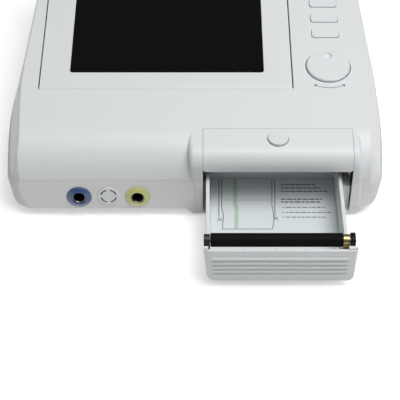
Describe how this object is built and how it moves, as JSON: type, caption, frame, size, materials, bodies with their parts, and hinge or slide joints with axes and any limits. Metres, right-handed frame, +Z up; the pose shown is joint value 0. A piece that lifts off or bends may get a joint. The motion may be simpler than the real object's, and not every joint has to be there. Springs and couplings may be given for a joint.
{
  "type": "cardiotocograph",
  "caption": "Bedside fetal monitor: wedge-shaped casing with a fold-up display, jog knob, keys, probe sockets and a pull-out chart-paper drawer with a platen roller.",
  "frame": {"origin": "on the table, under the middle of the monitor's length with the drawer open as pictured", "axes": "+X to the right as the user faces the monitor, +Y to its rear, +Z up; the drawer pulls out along -Y"},
  "size_m": [0.3531, 0.3988, 0.098],
  "materials": {
    "casing": "fine satin",
    "lower_casing": "fine satin",
    "pane": "gloss",
    "lcd": "satin",
    "inner_grey": "matt",
    "black_plastic": "satin",
    "rubber": "matt",
    "steel": "brushed",
    "motor": "satin",
    "supply": "satin",
    "brass": "turned",
    "socket_blue": "satin",
    "socket_yellow": "satin",
    "board": "satin",
    "label": "coated paper"
  },
  "bodies": {
    "chassis": {"bottom_case": "lower_casing", "top_cover": "casing", "printer_cover": "casing", "foot_front_left": "rubber", "foot_front_right": "rubber", "foot_rear_left": "rubber", "foot_rear_right": "rubber", "case_screw_1": "steel", "case_screw_2": "steel", "case_screw_3": "steel", "case_screw_4": "steel", "socket_ring_blue": "socket_blue", "socket_core_blue": "steel", "socket_ring_yellow": "socket_yellow", "socket_core_yellow": "steel", "socket_blank": "label", "main_board": "board", "keypad_board": "board", "speaker": "black_plastic", "power_supply": "supply", "battery_pack": "black_plastic", "hinge_pin_left": "steel", "hinge_pin_right": "steel", "encoder_body": "inner_grey", "power_inlet": "black_plastic", "switch_frame": "black_plastic", "data_port": "steel", "ground_post": "steel", "drawer_rail_left": "inner_grey", "drawer_rail_right": "inner_grey", "print_head": "inner_grey", "motor_bracket": "steel", "stepper_motor": "motor", "latch_pin": "steel", "idler_axle": "steel"},
    "drawer": {"drawer_tray": "casing", "drawer_front": "casing", "tray_label": "label", "bush_left": "inner_grey", "bush_right": "brass"},
    "platen": {"platen_rubber": "rubber", "platen_gear": "black_plastic", "platen_shaft": "steel"},
    "idler": {"idler_gear": "black_plastic"},
    "motor_rotor": {"motor_pinion": "brass"},
    "display": {"lid_bezel": "casing", "lid_back": "casing", "display_window": "pane", "lcd_module": "lcd"},
    "encoder": {"encoder_collar": "brass"},
    "dial": {"jog_knob": "casing", "encoder_shaft": "steel"},
    "key_1": {"key_1": "casing"},
    "key_2": {"key_2": "casing"},
    "key_3": {"key_3": "casing"},
    "key_4": {"key_4": "casing"},
    "key_5": {"key_5": "casing"},
    "rocker": {"power_rocker": "black_plastic"},
    "button": {"release_button": "casing"},
    "latch": {"drawer_latch": "inner_grey"}
  },
  "joints": [
    {"name": "drawer_slide", "type": "slide", "parent": "chassis", "child": "drawer", "axis": [0, -1, 0], "range_m": [-0.085, 0]},
    {"name": "platen_turn", "type": "hinge", "parent": "drawer", "child": "platen", "pos_m": [0.1266, -0.1865, 0.048], "axis": [1, 0, 0], "continuous": true},
    {"name": "motor_turn", "type": "hinge", "parent": "chassis", "child": "motor_rotor", "pos_m": [0.1374, -0.08006, 0.048], "axis": [1, 0, 0], "continuous": true},
    {"name": "idler_turn", "type": "hinge", "parent": "chassis", "child": "idler", "pos_m": [0.1374, -0.08928, 0.048], "axis": [1, 0, 0], "continuous": true},
    {"name": "display_tilt", "type": "hinge", "parent": "chassis", "child": "display", "pos_m": [0, -0.02409, 0.07776], "axis": [1, 0, 0], "range_deg": [0, 90]},
    {"name": "knob_push", "type": "slide", "parent": "chassis", "child": "encoder", "axis": [0, 0.083, -0.9966], "range_m": [0, 0.0008], "stiffness_N_per_m": 3000, "springref_m": -0.0005},
    {"name": "knob_turn", "type": "hinge", "parent": "encoder", "child": "dial", "pos_m": [0.1248, 0.0023, 0.08257], "axis": [0, -0.083, 0.9966], "continuous": true},
    {"name": "key_1_press", "type": "slide", "parent": "chassis", "child": "key_1", "axis": [0, 0.083, -0.9966], "range_m": [0, 0.001], "stiffness_N_per_m": 800, "springref_m": -0.0005},
    {"name": "key_2_press", "type": "slide", "parent": "chassis", "child": "key_2", "axis": [0, 0.083, -0.9966], "range_m": [0, 0.001], "stiffness_N_per_m": 800, "springref_m": -0.0005},
    {"name": "key_3_press", "type": "slide", "parent": "chassis", "child": "key_3", "axis": [0, 0.083, -0.9966], "range_m": [0, 0.001], "stiffness_N_per_m": 800, "springref_m": -0.0005},
    {"name": "key_4_press", "type": "slide", "parent": "chassis", "child": "key_4", "axis": [0, 0.083, -0.9966], "range_m": [0, 0.001], "stiffness_N_per_m": 800, "springref_m": -0.0005},
    {"name": "key_5_press", "type": "slide", "parent": "chassis", "child": "key_5", "axis": [0, 0.083, -0.9966], "range_m": [0, 0.001], "stiffness_N_per_m": 800, "springref_m": -0.0005},
    {"name": "rocker_flip", "type": "hinge", "parent": "chassis", "child": "rocker", "pos_m": [0.074, 0.1874, 0.0255], "axis": [1, 0, 0], "range_deg": [0, 16]},
    {"name": "button_press", "type": "slide", "parent": "chassis", "child": "button", "axis": [0, 0, -1], "range_m": [0, 0.0025], "stiffness_N_per_m": 500, "springref_m": -0.002},
    {"name": "latch_turn", "type": "hinge", "parent": "chassis", "child": "latch", "pos_m": [0.0745, -0.0426, 0.0535], "axis": [1, 0, 0], "range_deg": [0, 3.2]}
  ],
  "couplings": [
    {"joint": "idler_turn", "follows": "motor_turn", "ratio": -0.5},
    {"joint": "latch_turn", "follows": "button_press", "rad_per_m": 21.834}
  ]
}
